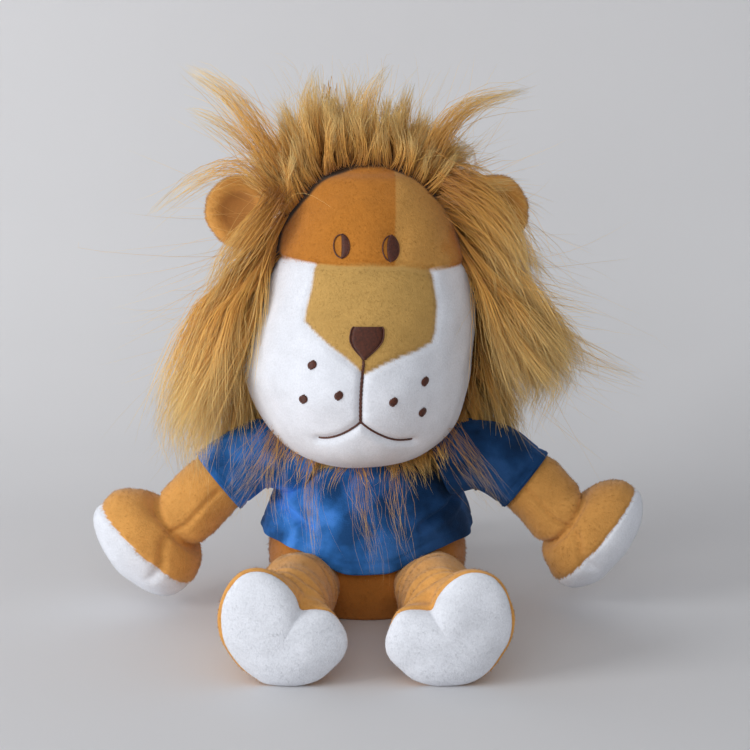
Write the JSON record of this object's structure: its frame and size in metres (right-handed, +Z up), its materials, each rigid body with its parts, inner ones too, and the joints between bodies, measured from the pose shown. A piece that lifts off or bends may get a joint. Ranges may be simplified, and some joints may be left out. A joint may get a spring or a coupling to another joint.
{
  "type": "plush toy",
  "caption": "Seated plush lion with embroidered face, long-haired mane, short-sleeved T-shirt, stuffed arms and legs with white palms and soles, and a tufted tail.",
  "frame": {"origin": "middle of the flat seat under the torso", "axes": "+Z up through the head, the face and feet point to -Y, +X to the right in the front view"},
  "size_m": [0.1969, 0.1825, 0.187],
  "materials": {
    "orange_plush": "short pile plush",
    "tan_plush": "short pile plush",
    "white_plush": "short pile plush",
    "mane_fur": "long pile faux fur",
    "embroidery_thread": "satin stitch",
    "brushed_jersey": "soft brushed knit",
    "polyester_fibre": "fibre filling"
  },
  "bodies": {
    "torso": {"torso_front_panel": "orange_plush", "torso_back_panel": "orange_plush", "seat_panel": "orange_plush", "torso_stuffing": "polyester_fibre", "pellet_pouch": "polyester_fibre", "shirt_front": "brushed_jersey", "shirt_back": "brushed_jersey", "shirt_collar": "brushed_jersey"},
    "neck": {"neck_stuffing": "polyester_fibre"},
    "head": {"forehead_panel": "orange_plush", "bridge_panel": "tan_plush", "cheek_panel_left": "white_plush", "cheek_panel_right": "white_plush", "head_back_panel": "orange_plush", "head_stuffing": "polyester_fibre", "eye_left": "embroidery_thread", "eye_right": "embroidery_thread", "nose": "embroidery_thread", "philtrum_line": "embroidery_thread", "mouth_line": "embroidery_thread", "whisker_dot_left_1": "embroidery_thread", "whisker_dot_left_2": "embroidery_thread", "whisker_dot_left_3": "embroidery_thread", "whisker_dot_right_1": "embroidery_thread", "whisker_dot_right_2": "embroidery_thread", "whisker_dot_right_3": "embroidery_thread", "mane": "mane_fur"},
    "ear_left": {"ear_left_front": "orange_plush", "ear_left_back": "orange_plush"},
    "arm_left": {"arm_left": "orange_plush", "palm_left": "white_plush", "arm_stuffing_left": "polyester_fibre", "sleeve_left": "brushed_jersey"},
    "leg_left": {"leg_left": "orange_plush", "sole_left": "white_plush", "leg_stuffing_left": "polyester_fibre"},
    "ear_right": {"ear_right_front": "orange_plush", "ear_right_back": "orange_plush"},
    "arm_right": {"arm_right": "orange_plush", "palm_right": "white_plush", "arm_stuffing_right": "polyester_fibre", "sleeve_right": "brushed_jersey"},
    "leg_right": {"leg_right": "orange_plush", "sole_right": "white_plush", "leg_stuffing_right": "polyester_fibre"},
    "tail": {"tail_tube": "orange_plush", "tail_tuft": "mane_fur"}
  },
  "joints": [
    {"name": "head_nod", "type": "hinge", "parent": "torso", "child": "neck", "pos_m": [0, 0.008, 0.053], "axis": [1, 0, 0], "range_deg": [-8, 8], "stiffness_Nm_per_rad": 0.12},
    {"name": "head_turn", "type": "hinge", "parent": "neck", "child": "head", "pos_m": [0, 0.008, 0.053], "axis": [0, 0, 1], "range_deg": [-15, 15], "stiffness_Nm_per_rad": 0.12},
    {"name": "ear_left_flex", "type": "hinge", "parent": "head", "child": "ear_left", "pos_m": [-0.0335, -0.004, 0.143], "axis": [0, 0, 1], "range_deg": [-15, 15], "stiffness_Nm_per_rad": 0.004},
    {"name": "arm_left_raise", "type": "hinge", "parent": "torso", "child": "arm_left", "pos_m": [-0.028, -0.002, 0.059], "axis": [0, 1, 0], "range_deg": [-6, 20], "stiffness_Nm_per_rad": 0.03},
    {"name": "leg_left_lift", "type": "hinge", "parent": "torso", "child": "leg_left", "pos_m": [-0.022, -0.0333, 0.0235], "axis": [-1, 0, 0], "range_deg": [0, 45], "stiffness_Nm_per_rad": 0.04},
    {"name": "ear_right_flex", "type": "hinge", "parent": "head", "child": "ear_right", "pos_m": [0.0335, -0.004, 0.143], "axis": [0, 0, 1], "range_deg": [-15, 15], "stiffness_Nm_per_rad": 0.004},
    {"name": "arm_right_raise", "type": "hinge", "parent": "torso", "child": "arm_right", "pos_m": [0.028, -0.002, 0.059], "axis": [0, -1, 0], "range_deg": [-6, 20], "stiffness_Nm_per_rad": 0.03},
    {"name": "leg_right_lift", "type": "hinge", "parent": "torso", "child": "leg_right", "pos_m": [0.022, -0.0333, 0.0235], "axis": [-1, 0, 0], "range_deg": [0, 45], "stiffness_Nm_per_rad": 0.04},
    {"name": "tail_swing", "type": "hinge", "parent": "torso", "child": "tail", "pos_m": [0, 0.03, 0.013], "axis": [0, 0, 1], "range_deg": [-20, 20], "stiffness_Nm_per_rad": 0.004}
  ]
}
